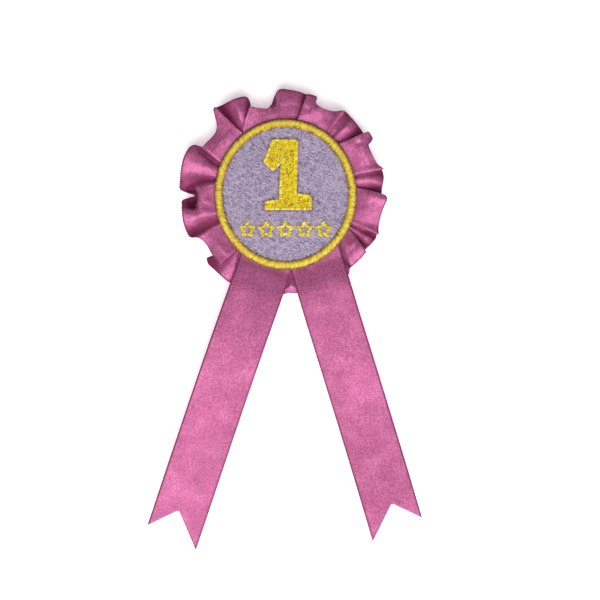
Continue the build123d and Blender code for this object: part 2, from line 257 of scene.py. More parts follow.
# ---- gathered ruffle ----
# Stations along the ribbon, clockwise. Each is the clock angle where it leaves the
# patch, the clock angle and radius of its free edge, and its depths half way out, at
# its shoulder, at the free edge and, where a fold has a brow, just past half way.
# Angles that step back are the hidden side of a fold.
folds = [
    # fold and dip at the upper left
    (325.5, 338.0, 44.0, 9.6, 10.3, 10.6), (331.0, 340.5, 42.8, 9.2, 9.7, 9.9),
    (338.0, 344.5, 41.6, 8.6, 8.7, 8.5), (346.0, 348.5, 41.0, 8.3, 8.1, 7.7),
    (350.6, 350.2, 42.0, 8.4, 8.2, 8.0), (352.4, 351.6, 43.4, 8.4, 6.4, 3.8, 8.0),
    # top lobe
    (354.4, 353.4, 46.2, 8.4, 4.8, 3.4, 7.8), (355.8, 355.4, 48.5, 8.5, 7.2, 5.4),
    (357.4, 357.2, 49.3, 8.7, 8.3, 6.0), (361.5, 362.0, 49.0, 8.5, 8.2, 6.2),
    (364.6, 366.6, 48.6, 8.1, 7.6, 5.8), (367.2, 369.8, 48.2, 7.4, 6.6, 5.0),
    (368.6, 371.8, 48.0, 6.9, 5.8, 4.6), (369.6, 372.8, 47.9, 6.9, 5.8, 4.8),
    (368.9, 372.4, 47.9, 9.0, 9.4, 8.0), (371.8, 376.4, 48.0, 9.8, 9.9, 7.0),
    (372.8, 377.8, 47.6, 9.9, 10.0, 7.0), (374.5, 378.3, 45.0, 10.0, 10.3, 8.6),
    (380.0, 381.5, 43.6, 9.8, 10.4, 10.2), (386.0, 386.5, 43.8, 9.0, 9.1, 8.7),
    (391.0, 390.5, 45.0, 8.4, 8.1, 7.3), (394.8, 394.8, 47.4, 8.6, 8.8, 9.2),
    # upper right recess
    (395.6, 395.8, 47.9, 7.8, 6.8, 5.4), (398.0, 399.0, 47.6, 7.4, 6.8, 4.0),
    (400.6, 402.5, 47.2, 8.0, 8.6, 4.4), (402.6, 405.2, 46.9, 7.6, 7.9, 4.2),
    (404.4, 408.4, 46.7, 6.8, 6.2, 3.8), (406.4, 411.6, 46.4, 6.6, 5.6, 3.4),
    (408.4, 414.6, 46.0, 6.6, 5.4, 3.0), (406.4, 412.6, 48.2, 9.2, 10.0, 8.6),
    (409.4, 415.2, 48.5, 9.8, 10.2, 6.4), (411.2, 416.9, 48.3, 9.9, 9.8, 5.6),
    (412.4, 418.2, 46.8, 9.9, 9.9, 6.8), (414.4, 418.9, 45.0, 9.9, 10.1, 8.6),
    (420.0, 424.0, 44.2, 9.8, 10.0, 9.4), (428.0, 431.5, 44.9, 9.2, 9.3, 8.5),
    # right side
    (433.8, 435.4, 46.9, 9.0, 9.4, 10.0), (433.2, 434.6, 46.3, 7.4, 6.8, 5.8),
    (435.2, 437.0, 46.6, 7.3, 6.4, 3.8), (437.4, 439.6, 46.4, 8.1, 8.0, 4.8),
    (440.4, 442.6, 45.7, 7.9, 8.1, 6.2), (442.6, 445.6, 45.0, 7.0, 6.2, 4.6),
    (444.4, 449.0, 44.8, 6.5, 5.2, 3.2), (446.2, 451.6, 44.8, 6.5, 5.0, 3.0),
    (444.6, 450.2, 46.0, 9.2, 9.6, 9.0), (447.5, 452.4, 47.0, 10.2, 10.9, 10.6),
    (455.0, 457.6, 45.8, 10.1, 10.3, 9.7), (462.0, 463.3, 45.2, 9.6, 9.6, 9.0),
    (469.0, 469.5, 45.7, 8.9, 9.0, 8.7), (473.0, 473.2, 46.9, 8.8, 9.4, 10.2),
    (472.3, 472.6, 46.2, 7.0, 6.4, 5.2), (474.4, 475.0, 46.6, 6.6, 5.4, 3.2),
    (476.4, 477.8, 46.2, 7.8, 8.3, 5.4), (478.0, 480.4, 45.7, 7.6, 8.0, 6.0),
    (479.0, 483.4, 45.1, 6.4, 5.6, 3.6), (480.6, 486.6, 44.9, 6.3, 5.0, 3.0),
    (478.9, 485.4, 45.8, 9.4, 10.3, 10.2), (483.0, 488.5, 45.8, 10.1, 10.4, 10.0),
    (488.5, 492.5, 45.6, 9.6, 9.8, 9.3), (493.6, 497.6, 45.3, 8.8, 9.0, 8.5),
    (493.0, 496.4, 45.0, 7.0, 6.2, 4.6), (495.0, 499.0, 45.4, 7.1, 6.4, 4.6),
    (498.0, 501.4, 46.9, 8.2, 8.4, 6.8),
    # pressed flat behind the tails
    (508.0, 510.0, 45.8, 8.0, 7.4, 6.2), (517.0, 518.0, 45.3, 8.0, 7.0, 5.4),
    (526.0, 528.0, 45.8, 8.3, 7.8, 6.6), (534.0, 534.5, 45.8, 8.9, 9.2, 8.0),
    (539.0, 538.5, 45.5, 9.0, 9.2, 7.8), (544.0, 542.0, 46.2, 8.5, 8.0, 6.6),
    (552.0, 550.0, 45.8, 8.0, 7.2, 5.4), (561.0, 559.0, 46.2, 8.0, 7.6, 6.6),
    (570.0, 568.0, 47.3, 8.0, 7.6, 6.4),
    # lower left
    (577.0, 573.6, 48.3, 8.2, 8.1, 6.8), (580.0, 579.0, 48.1, 8.5, 8.4, 7.4),
    (581.4, 583.5, 48.0, 8.1, 7.4, 6.0), (582.6, 588.6, 48.2, 7.7, 6.4, 4.4),
    (583.6, 591.6, 46.8, 7.4, 6.0, 4.0), (581.8, 583.2, 44.7, 9.3, 9.7, 10.2),
    (585.0, 587.5, 44.0, 9.8, 9.8, 9.5), (590.0, 592.0, 43.7, 9.9, 9.4, 8.6),
    (597.0, 597.0, 43.3, 9.7, 9.0, 8.0), (603.0, 602.0, 44.2, 9.2, 8.9, 8.6),
    (606.0, 604.4, 45.9, 8.8, 9.0, 9.4), (607.6, 605.6, 47.9, 7.6, 7.2, 6.6),
    (609.6, 607.2, 49.0, 6.4, 5.8, 5.0), (611.8, 609.2, 49.2, 6.0, 5.8, 5.2),
    (613.2, 611.8, 49.2, 7.6, 8.2, 7.4), (615.0, 616.0, 49.0, 9.5, 10.2, 9.6),
    # rolled notch at the left
    (617.4, 621.5, 48.5, 9.9, 9.2, 10.4), (618.2, 624.0, 48.2, 9.7, 4.0, 9.8, 9.2),
    (619.6, 626.8, 47.9, 9.6, 2.4, 8.6, 9.4), (621.2, 628.4, 45.6, 9.6, 2.4, 5.0, 9.6),
    (623.5, 629.3, 43.2, 9.8, 6.2, 2.2, 9.4), (628.0, 630.0, 42.7, 9.8, 6.4, 2.0, 9.6),
    (633.0, 630.8, 43.4, 9.8, 6.0, 2.2, 9.6), (636.0, 631.6, 46.4, 9.6, 2.6, 5.0, 9.4),
    (638.4, 633.0, 49.0, 9.2, 2.8, 7.8, 9.0), (640.0, 635.6, 49.3, 7.8, 4.8, 9.0, 7.4),
    # left lobe
    (641.2, 638.0, 49.4, 6.4, 6.0, 8.6), (642.8, 640.2, 49.6, 6.0, 6.6, 8.8),
    (644.4, 643.0, 49.8, 8.4, 9.2, 9.6), (647.3, 647.3, 50.0, 9.7, 10.3, 10.4),
    (650.0, 651.4, 50.0, 9.6, 10.4, 10.8), (652.0, 655.2, 49.7, 8.0, 9.4, 10.4),
    (652.9, 657.2, 49.3, 6.6, 7.6, 9.0), (654.0, 658.8, 48.2, 6.4, 6.4, 7.4),
    (656.2, 659.5, 46.4, 6.4, 6.0, 6.6),
    # long dip up to the first fold
    (656.8, 660.0, 44.4, 9.7, 9.8, 9.3), (661.0, 663.5, 43.8, 10.1, 9.8, 8.8),
    (667.0, 668.0, 43.3, 9.7, 9.1, 8.2), (673.0, 672.5, 43.7, 9.4, 8.9, 8.2),
    (679.0, 676.0, 46.0, 9.3, 8.9, 8.4), (682.4, 678.6, 50.0, 9.2, 8.9, 8.8),
    (684.2, 679.8, 51.7, 9.3, 9.2, 9.2), (685.1, 680.7, 52.1, 9.9, 10.3, 10.2),
    (685.2, 681.6, 51.9, 7.4, 7.2, 6.8), (685.4, 684.4, 51.5, 7.0, 5.8, 4.6),
    (686.0, 687.8, 50.9, 7.6, 7.6, 6.4), (686.8, 691.8, 50.2, 8.4, 9.8, 9.6),
    (687.4, 695.8, 49.8, 8.2, 9.0, 8.2), (687.7, 697.9, 49.4, 7.7, 7.6, 6.0),
    (687.9, 698.8, 48.4, 7.4, 7.0, 5.2), (688.0, 698.9, 45.6, 7.2, 6.4, 4.6),
]
seam_radius = 21.3
exit_limit = 8.65  # greatest depth of a fold where it leaves the patch
# the ribbon's two ends meet behind the tails
join_fold = next(k for k, fold in enumerate(folds) if fold[0] > 520)
middle_radius = 38.6
brow_share = 0.45  # of the way from half way out to the shoulder
station_steps = 8
edge_steps = 9


def tail_bed(x, z):
    """Greatest depth that leaves the tails their room; it opens out beside and above them."""
    limit = np.full(np.shape(x), 99.0)
    for tail in (left_tail, right_tail):
        run, across = tail.split(x, z)
        beside = np.maximum(np.abs(across) - ribbon_width / 2 - 0.4, 0)
        above = np.maximum(-3 - sewn_length - run, 0)
        room = np.where(run > 0, tail.depth(run) - 0.75, seam_front - 0.2)
        limit = np.minimum(limit, room + 1.1 * (beside + 3 * above))
    return limit


def ruffle_points():
    """Grid of points of the gathered ribbon, along it and from its seam to its free edge."""
    ordered = folds[join_fold:] + folds[:join_fold]
    leave, edge, radius, middle, shoulder, outer = np.array([fold[:6] for fold in ordered]).T
    brow = middle + (shoulder - middle) * brow_share
    for k, fold in enumerate(ordered):
        if len(fold) > 6:
            brow[k] = fold[6]
    patch_edge = np.hypot(*oval(leave, patch_half)) + 0.3
    # how much of the turn towards the free edge is made half way out, and at the shoulder
    middle_turn, shoulder_turn = 0.42, 0.75
    brow_turn = middle_turn + (shoulder_turn - middle_turn) * brow_share
    # from the seam outwards: clock angle, radius and depth
    rows = [
        (leave, seam_radius, seam_back + 0.25 + (middle - 7) * 0.35),
        (leave, patch_edge, np.minimum(seam_front + (middle - 7.5) * 0.9, exit_limit)),
        (leave + (edge - leave) * middle_turn, middle_radius, middle),
        (
            leave + (edge - leave) * brow_turn,
            middle_radius + (radius - middle_radius) / 2 * brow_share, brow,
        ),
        (leave + (edge - leave) * shoulder_turn, (middle_radius + radius) / 2, shoulder),
        (edge, radius, outer),
    ]
    ones = np.ones(len(leave))
    stations = np.stack([np.stack([*clock(angle, r * ones), h], axis=-1) for angle, r, h in rows], axis=1)
    along = smooth(stations, station_steps, closed=True)
    return smooth(along.transpose(1, 0, 2), edge_steps).transpose(1, 0, 2)


def cavity(x, z, h):
    """How far points lie behind the foremost fold within a few millimetres."""
    # a map of the foremost depth in square cells, spread a few cells outwards and then softened
    half_map, cell, spread_cells, softenings = 60, 0.8, 5, 4
    across = [(k + half_map) / cell for k in (x, z)]
    i, j = (k.astype(int) for k in across)
    cells = int(2 * half_map / cell)
    front = np.full((cells, cells), -99.0)
    np.maximum.at(front, (i, j), h)
    for turn in range(spread_cells):
        wide = front.copy()
        for axis in (0, 1):
            for step in (-1, 1):
                wide = np.maximum(wide, np.roll(front, step, axis=axis) - 0.1)
        front = wide
    for turn in range(softenings):
        sides = [np.roll(front, step, axis=axis) for axis in (0, 1) for step in (-1, 1)]
        front = front * 0.4 + 0.15 * sum(sides)
    i, j = (np.floor(k - 0.5).astype(int) for k in across)
    u, v = (k - 0.5 - np.floor(k - 0.5) for k in across)
    level = (front[i, j] * (1 - v) + front[i, j + 1] * v) * (1 - u)
    return level + (front[i + 1, j] * (1 - v) + front[i + 1, j + 1] * v) * u - h


grid = ruffle_points()
v = np.concatenate([[0], np.cumsum(np.linalg.norm(np.diff(grid, axis=1), axis=2).mean(axis=0))])
v /= v[-1]
x, z, h = grid[..., 0], grid[..., 1], grid[..., 2]
crumple = grain(place(x, z, h), 5.0, 1) * 0.25 + grain(place(x, z, h), 2.4, 2) * 0.09
# the crumples fade out at the patch, and the ribbon is pressed back behind the tails
h = h + crumple * np.clip((np.hypot(x, z) - patch_half[0]) / 4, 0, 1)
bed = tail_bed(x, z)
h = np.minimum(h, bed) - 0.12 * np.exp(-np.abs(h - bed))
# kept off the card behind, and off the glue and the patch in front
card_edge = 30.4
card_front = depth_range("mounting_card")[1]
card_room = card_front + 0.2 - 1.5 * np.maximum(np.hypot(x, z) - card_edge, 0)
outside = (np.hypot(x / patch_half[0], z / patch_half[1]) - 1) * patch_half[0]
under_glue, under_patch = seam_front - 0.2, patch_back - 0.22
patch_room = np.interp(
    outside, [-40, -4.7, -3.2, 0.15, 6], [under_glue, under_glue, under_patch, under_patch, 18]
)
h = np.clip(h, card_room, patch_room)
steps = np.linalg.norm(np.diff(np.stack([x, z, h], axis=-1), axis=0), axis=2)
along = np.concatenate([[0], np.cumsum(steps[:, len(v) // 2 :].mean(axis=1))])
uv = np.stack(np.broadcast_arrays(along[:, None] / ribbon_width, v[None, :]), axis=-1)
# how deep in a fold each point lies, from 0 to 1; the satin paints shade into the folds with it, through
# the tone attribute
painted_fold_shade = np.clip((cavity(x, z, h) - 0.8) / 3.2, 0, 1)
ruffle = mesh_object("satin_ruffle", place(x, z, h), grid_faces(*h.shape), uv, painted_fold_shade)
thicken(ruffle, ribbon_thickness)
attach(ruffle, "rosette")
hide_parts("ruffle_ribbon")


# ---- tails ----
def smooth_depth(tail, run, settle):
    """Depth along a tail with the kinks eased out, plus how far it has settled off its drape."""
    # averaged over a few millimetres where the tail hangs free, but not at its hinge
    near = np.linspace(-6, 6, 13)
    weight = np.exp(-((near / 3.0) ** 2)) * np.clip(run / 12, 0, 1)[..., None] ** 2 + (near == 0) * 0.02
    spread = np.maximum(run[..., None] + near, 0)
    level = tail.depth(spread) + np.interp(spread, *zip(*settle))
    return (level * weight).sum(axis=-1) / weight.sum(axis=-1)


def tail_piece(name, tail, anchor, wave, settle, seed):
    """One tail as a single strip, from its sewn end under the patch to its swallow tail.

    wave is the size and length of a gentle wave in the strip, its phase and how far the
    phase shifts from edge to edge. settle is (run, depth) pairs: how far it hangs off its
    drape.
    """
    rows, row_step = 26, 1.1
    across = np.linspace(-0.5, 0.5, rows) * ribbon_width
    low, high = depth_range(anchor)
    start = -sewn_length
    share = across / ribbon_width + 0.5
    notch_side, notch = tail.notch
    end = np.interp(across, [across[0], notch_side, across[-1]], [tail.left_point, notch, tail.right_point])
    straight = notch - 8.0
    columns = np.concatenate([np.arange(start, straight, row_step), [straight]])
    last = np.linspace(0, 1, 14)[1:]
    run = np.concatenate([
        np.repeat(columns[:, None], rows, axis=1),
        straight + last[:, None] * (end - straight)[None, :],
    ])
    side = np.broadcast_to(across, run.shape)
    ease = np.clip((run + 1.5) / 4.0, 0, 1)
    ease = ease * ease * (3 - 2 * ease)
    h = (low + high) / 2 * (1 - ease) + smooth_depth(tail, run, settle) * ease
    fade = np.clip(run / 30, 0, 1)
    size, wave_length, phase, twist = wave
    h = h + fade * size * np.sin(2 * pi * run / wave_length + phase + twist * side / ribbon_width)
    # slight cupping across the ribbon, and a soft curl of the edges
    h = h + fade * 0.25 * (side / ribbon_width * 2) ** 2
    sway = 0.25 * np.sin(run / 31 + seed) * fade
    x, z = tail.join(run, side + sway)
    h = h + fade * grain(place(x, z, h), 14, seed) * 0.09
    uv = np.stack([(run - start) / ribbon_width, share[None, :] * np.ones_like(run)], axis=-1)
    piece = mesh_object(name, place(x, z, h), grid_faces(*run.shape), uv)
    thicken(piece, ribbon_thickness)
    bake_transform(piece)
    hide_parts(tail.node, anchor)
    return piece


tail_left = tail_piece(
    "satin_tail_left", left_tail, "tail_left_anchor", (0.1, 47, 1.0, 0.6),
    [(0, 0), (22, 0), (44, -0.7), (60, -0.9), (90, -0.8), (110, -0.2), (130, 0.5)], 3,
)
tail_right = tail_piece(
    "satin_tail_right", right_tail, "tail_right_anchor", (0.1, 55, 2.2, -0.7),
    [(0, 0), (8, 0), (14, -0.15), (20, -0.6), (38, -1.75), (60, -1.85), (67, -1.75), (79, -1.2),
     (91, -0.3), (103, 0.9), (125, 3.4)], 5,
)


# ---- embroidery ----
def inset(points, distance):
    """Corners of a closed outline moved inwards; the outline may run either way round."""
    points = np.asarray(points, float)
    after = np.roll(points, -1, axis=0)
    area = np.sum(points[:, 0] * after[:, 1] - after[:, 0] * points[:, 1])
    ahead = after - points
    ahead /= np.linalg.norm(ahead, axis=1, keepdims=True)
    normal = np.sign(area) * np.stack([-ahead[:, 1], ahead[:, 0]], axis=1)
    before = np.roll(normal, 1, axis=0)
    mitre = (normal + before) / (1 + np.sum(normal * before, axis=1, keepdims=True))
    return points + mitre * distance


def outline_distance(points, outline):
    """Distance of points from a closed outline."""
    a, b = np.asarray(outline, float), np.roll(outline, -1, axis=0)
    ahead = b - a
    offset = points[:, None, :] - a[None]
    t = np.clip((offset * ahead).sum(axis=2) / (ahead**2).sum(axis=1), 0, 1)
    return np.linalg.norm(offset - t[..., None] * ahead, axis=2).min(axis=1)


def fill_segments(outline, angle, pitch, stitch, jitter, scatter):
    """Rows of stitches across an outline, each row shifted against the last and each stitch
    turned a little."""
    turn = np.array([[cos(angle), sin(angle)], [-sin(angle), cos(angle)]])
    turned = np.asarray(outline) @ turn.T
    segments = []
    for n, level in enumerate(np.arange(turned[:, 1].min() + pitch / 2, turned[:, 1].max(), pitch)):
        a, b = turned, np.roll(turned, -1, axis=0)
        crossing = (a[:, 1] > level) != (b[:, 1] > level)
        cuts = a[:, 0] + (level - a[:, 1]) / np.where(crossing, b[:, 1] - a[:, 1], 1) * (b[:, 0] - a[:, 0])
        cuts = np.sort(cuts[crossing])
        shift = (n * 0.37 % 1) * stitch
        for left, right in zip(cuts[::2], cuts[1::2]):
            first, last = np.floor((left - shift) / stitch), (right - shift) / stitch + 1
            marks = np.arange(first, last) * stitch + shift
            marks = np.clip(marks + rng.normal(0, jitter, len(marks)), left, right)
            marks = np.unique(np.concatenate([[left], marks, [right]]))
            for start, end in zip(marks, marks[1:]):
                if end - start > 0.35:
                    sway = rng.normal(0, 0.11, 2)
                    segments.append([(start, level + sway[0]), (end, level + sway[1])])
    segments = np.array(segments) @ turn
    middles = segments.mean(axis=1)
    spans = segments[:, 1] - middles
    turns = rng.normal(0, scatter, len(segments)) * np.clip(1.6 - np.linalg.norm(spans, axis=1), 0, 1)
    cosine, sine = np.cos(turns), np.sin(turns)
    x, z = spans.T
    spans = np.stack([x * cosine - z * sine, x * sine + z * cosine], axis=1)
    return np.stack([middles - spans, middles + spans], axis=1)


def satin_segments(outline, width, pitch, soften):
    """Stitches square across a band that follows an outline, fanning round its corners."""
    outline = np.asarray(outline, float)
    ahead = np.roll(outline, -1, axis=0) - outline
    lengths = np.linalg.norm(ahead, axis=1)
    ends = np.concatenate([[0], np.cumsum(lengths)])

    def on_line(s):
        s = s % ends[-1]
        k = np.clip(np.searchsorted(ends, s, side="right") - 1, 0, len(outline) - 1)
        return outline[k] + ahead[k] * ((s - ends[k]) / lengths[k])[:, None]

    s = np.arange(0, ends[-1], pitch)
    middle = on_line(s)
    direction = on_line(s + soften) - on_line(s - soften)
    direction /= np.linalg.norm(direction, axis=1, keepdims=True)
    normal = np.stack([-direction[:, 1], direction[:, 0]], axis=1)
    half = width / 2 * (1 + rng.normal(0, 0.06, len(s)))[:, None]
    return np.stack([middle - normal * half, middle + normal * half], axis=1)


def stitches(name, segments, base, rise, radius, tones=None, sides=5):
    """Threads over the segments, each sunk at its ends and proud in the middle."""
    t = np.linspace(0, 1, 6)
    flat = segments[:, :1] * (1 - t)[None, :, None] + segments[:, 1:] * t[None, :, None]
    lift = rise * (1 - (2 * t - 1) ** 4)[None, :] * (1 + rng.normal(0, 0.12, (len(segments), 1)))
    paths = place(flat[..., 0], flat[..., 1], base + lift)
    return thread_piece(name, paths, radius, sides=sides, tones=tones)


def on_patch(piece, slot, *nodes):
    """Makes a piece ride with the rosette in place of its CAD nodes."""
    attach(piece, "rosette")
    if nodes:
        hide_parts(*nodes)
    return piece


numeral_outline = np.array([
    (-6.1, 25.5), (5.9, 25.5), (5.2, 0.6), (12.0, -0.4), (12.3, -7.2), (-9.5, -7.2), (-9.7, -3.2),
    (-3.0, -2.1), (-2.4, 12.4), (-1.8, 14.5), (-5.8, 10.6), (-10.3, 15.2), (-8.8, 18.3),
])
round_outline = np.stack(oval(np.arange(0, 360, 3.0), fill_half, -0.65), axis=1)
ground_segments = fill_segments(round_outline, radians(-32), 0.37, 0.95, 0.2, 0.45)
ground_middles = ground_segments.mean(axis=1)
# painted shade on the ground beside the numeral and the border: its stitches are darker there
ground_painted_shade = np.exp(-((outline_distance(ground_middles, numeral_outline) / 0.75) ** 2))
ground_painted_shade += np.exp(-((outline_distance(ground_middles, round_outline) / 0.9) ** 2))
ground_tones = rng.uniform(0.25, 0.95, len(ground_segments)) - 0.45 * ground_painted_shade
ground = on_patch(
    stitches(
        "lilac_ground", ground_segments, fill_back + 0.06, 0.22, 0.22, tones=ground_tones, sides=4,
    ),
    "lilac_thread", "patch_fill",
)

outline_width = 1.25
numeral_fill = on_patch(
    stitches(
        "numeral_threads",
        fill_segments(inset(numeral_outline, 0.8), radians(58), 0.38, 1.0, 0.2, 0.4),
        fill_front + 0.06, 0.24, 0.23,
    ),
    "yellow_thread", "numeral_fill",
)
numeral_edge = on_patch(
    stitches(
        "numeral_edge_threads",
        satin_segments(inset(numeral_outline, outline_width / 2), outline_width, 0.32, 0.6),
        fill_front + 0.04, 0.40, 0.21,
    ),
    "yellow_thread", "numeral_outline",
)


def star_outline(x, z, radius):
    """Corners of a five-pointed star."""
    waist = 0.45
    angles = np.arange(10) * 36
    reach = np.where(np.arange(10) % 2, waist, 1) * radius
    dx, dz = clock(angles, reach)
    return np.stack([x + dx, z + dz], axis=1)


star_low, star_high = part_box("star_row")
star_radius, star_stroke = 4.3, 1.05
star_z = (star_high.z - patch_z) / MM - star_radius
star_pitch = ((star_high.x - star_low.x) / MM - 2 * star_radius * sin(radians(72))) / 4
star_segments = np.concatenate([
    satin_segments(star_outline(star_pitch * k, star_z, star_radius - 0.6), star_stroke, 0.32, 0.35)
    for k in (-2, -1, 0, 1, 2)
])
stars = on_patch(
    stitches("star_threads", star_segments, fill_front - 0.02, 0.34, 0.2), "yellow_thread", "star_row",
)


def rim_threads():
    """Slanting threads that wrap the edge of the patch."""
    width = patch_half[0] - fill_half[0]
    # distance in from the patch's edge, and depth, from the inner foot over the top to the back
    foot = width - 0.15
    profile = np.array([
        (foot + 0.1, fill_front - 0.35), (foot - 0.25, fill_front + 0.2),
        (foot * 0.72, raised_front - 0.42), (foot * 0.5, raised_front - 0.2),
        (foot * 0.27, raised_front - 0.44), (0.42, raised_front - 1.1),
        (0.2, fill_back - 0.2), (0.2, patch_back + 0.5), (0.5, patch_back + 0.1),
    ])
    count = 410
    angles = np.arange(count) * 360 / count + rng.normal(0, 0.09, count)
    slant = np.linspace(0, 3.4, len(profile))
    inward = profile[None, :, 0] + rng.normal(0, 0.07, (count, len(profile)))
    depth = profile[None, :, 1] + rng.normal(0, 0.06, (count, len(profile)))
    x, z = oval(angles[:, None] + slant[None, :], patch_half, inward)
    tones = 0.55 + rng.normal(0, 0.16, (count, len(profile)))
    # painted highlight on top, and painted shade at the inner foot and where the threads dive into the
    # cloth
    rim_painted_light = np.array([-0.6, -0.3, 0.05, 0.25, 0.05, -0.4, -0.8, -0.8, -0.8])
    return thread_piece("rim_threads", place(x, z, depth), 0.28, sides=6, tones=tones + rim_painted_light)


rim = on_patch(rim_threads(), "yellow_thread", "patch_border")


# ---- cloth and board inside the rosette, and the felt on its back ----
def cloth_disc(name, node, uneven, slot, seed, rounding=0.25):
    """A round piece of cloth in a CAD node's place, with a slightly uneven face and cut edge."""
    back, front = depth_range(node)
    half_size = half_sides(node)
    radius = half_size[0]
    middle = (back + front) / 2
    half = (front - back) / 2
    around = np.linspace(0, 360, 181)[:-1]
    # the profile: shares of the radius and of the half thickness, over the front and round the edge
    flat_rings = 22
    flat_end = 1 - rounding / radius
    turned = 1 - rounding / radius * np.array([0.4, 0.08])
    reach = np.concatenate([np.linspace(0.02, flat_end, flat_rings), turned])
    fall = np.concatenate([np.ones(flat_rings), [0.85, 0.45]])
    share = np.concatenate([reach, [1.0], reach[::-1]])
    level = np.concatenate([fall, [0.0], -fall[::-1]])
    turns = np.radians(around)
    wobble = 1 + uneven * 0.25 / radius * (np.sin(turns * 7 + seed) + np.sin(turns * 17 + seed * 2))
    shrink = share[None, :] * (1 - (1 - wobble[:, None]) * share[None, :] ** 6)
    shrink = shrink * (1 - 0.15 * uneven / radius)
    x, z = oval(around[:, None], half_size)
    x, z = x * shrink, z * shrink
    points = place(x, z, middle + half * level[None, :])
    h = middle + (half - 0.04) * level[None, :] + 0.04 * uneven * grain(points, 4, seed)
    rows = len(share)
    faces = []
    for i in range(len(around)):
        a, b = i * rows, (i + 1) % len(around) * rows
        faces += [(a + j, b + j, b + j + 1, a + j + 1) for j in range(rows - 1)]
    faces.append([i * rows for i in range(len(around))][::-1])
    faces.append([i * rows + rows - 1 for i in range(len(around))])
    piece = mesh_object(name, place(x, z, h), faces)
    on_patch(piece, slot, node)
    return piece, 2 * half_size * MM


felt, felt_size = cloth_disc("felt_back", "backing_felt", 1.0, "felt", 1, rounding=0.5)
twill, twill_size = cloth_disc("twill_base", "patch_base_cloth", 0.3, "patch_twill", 2)
buckram, buckram_size = cloth_disc("buckram_disc", "patch_stiffener", 0.3, "buckram", 3)
pad = cloth_disc("wadding_pad", "centre_pad", 0.6, "buckram", 4, rounding=0.6)[0]


# ---- sewing ----
def islands(node):
    """Corner points of each of the separate solids of a CAD node."""
    mesh = frame["nodes"][node].data
    points = np.array([vertex.co for vertex in mesh.vertices])
    keys, inverse = np.unique(np.round(points * 1e6), axis=0, return_inverse=True)
    inverse = inverse.ravel()
    parent = list(range(len(keys)))

    def root(i):
        while parent[i] != i:
            parent[i] = parent[parent[i]]
            i = parent[i]
        return i

    for edge in mesh.edges:
        parent[root(inverse[edge.vertices[0]])] = root(inverse[edge.vertices[1]])
    roots = np.array([root(i) for i in inverse])
    return [points[roots == r] for r in np.unique(roots)]


def stitched(name, node, strands, radius):
    """Loops of thread laid side by side along each of a node's plain bars."""
    paths = []
    for points in islands(node):
        centre = (points.min(axis=0) + points.max(axis=0)) / 2
        flat = (points - points.mean(axis=0))[:, [0, 2]]
        along = np.linalg.svd(flat, full_matrices=False)[2][0]
        aside = np.array([-along[1], along[0]])
        half = np.abs(flat @ along).max() / MM
        spread = max(np.abs(flat @ aside).max() / MM - radius, 0)
        back, front = -points[:, 1].max() / MM, -points[:, 1].min() / MM
        t = np.linspace(-1, 1, 13)
        # stitches over the bar stand proud backwards, and those of the tails forwards
        forwards = centre[1] < -bar_front * MM
        inner, outer = (back, front - radius) if forwards else (front, back + radius)
        for k in np.linspace(-1, 1, strands):
            lie = aside * (k * spread) + rng.normal(0, 0.04, 2)
            run = along[None, :] * (half * t)[:, None] * (1 - 0.04 * rng.random())
            run = run + lie * (1 - 0.5 * t[:, None] ** 4)
            level = outer + (inner - outer) * np.abs(t) ** 5
            paths.append(np.stack(
                [centre[0] + run[:, 0] * MM, -level * MM, centre[2] + run[:, 1] * MM], axis=-1,
            ))
    return on_patch(thread_piece(name, paths, radius, sides=6), "sewing_thread", node)


bar_sewing = stitched("bar_sewing", "bar_stitches", 3, 0.22)
tail_sewing = stitched("tail_sewing", "tail_stitches", 2, 0.16)


def running_stitch():
    """The gathering thread, in and out of the ruffle's inner edge."""
    angles = np.arange(0, 360.1, 0.75)
    weave = np.sin(np.radians(angles) * 60)
    low, high = depth_range("gathering_thread")
    x, z = clock(angles, seam_radius - 0.9 + 0.12 * np.sin(np.radians(angles) * 11))
    path = place(x, z, (low + high) / 2 + 0.24 * weave)
    return thread_piece("running_stitch", path[None], 0.17, sides=6)


gathering = on_patch(running_stitch(), "sewing_thread", "gathering_thread")


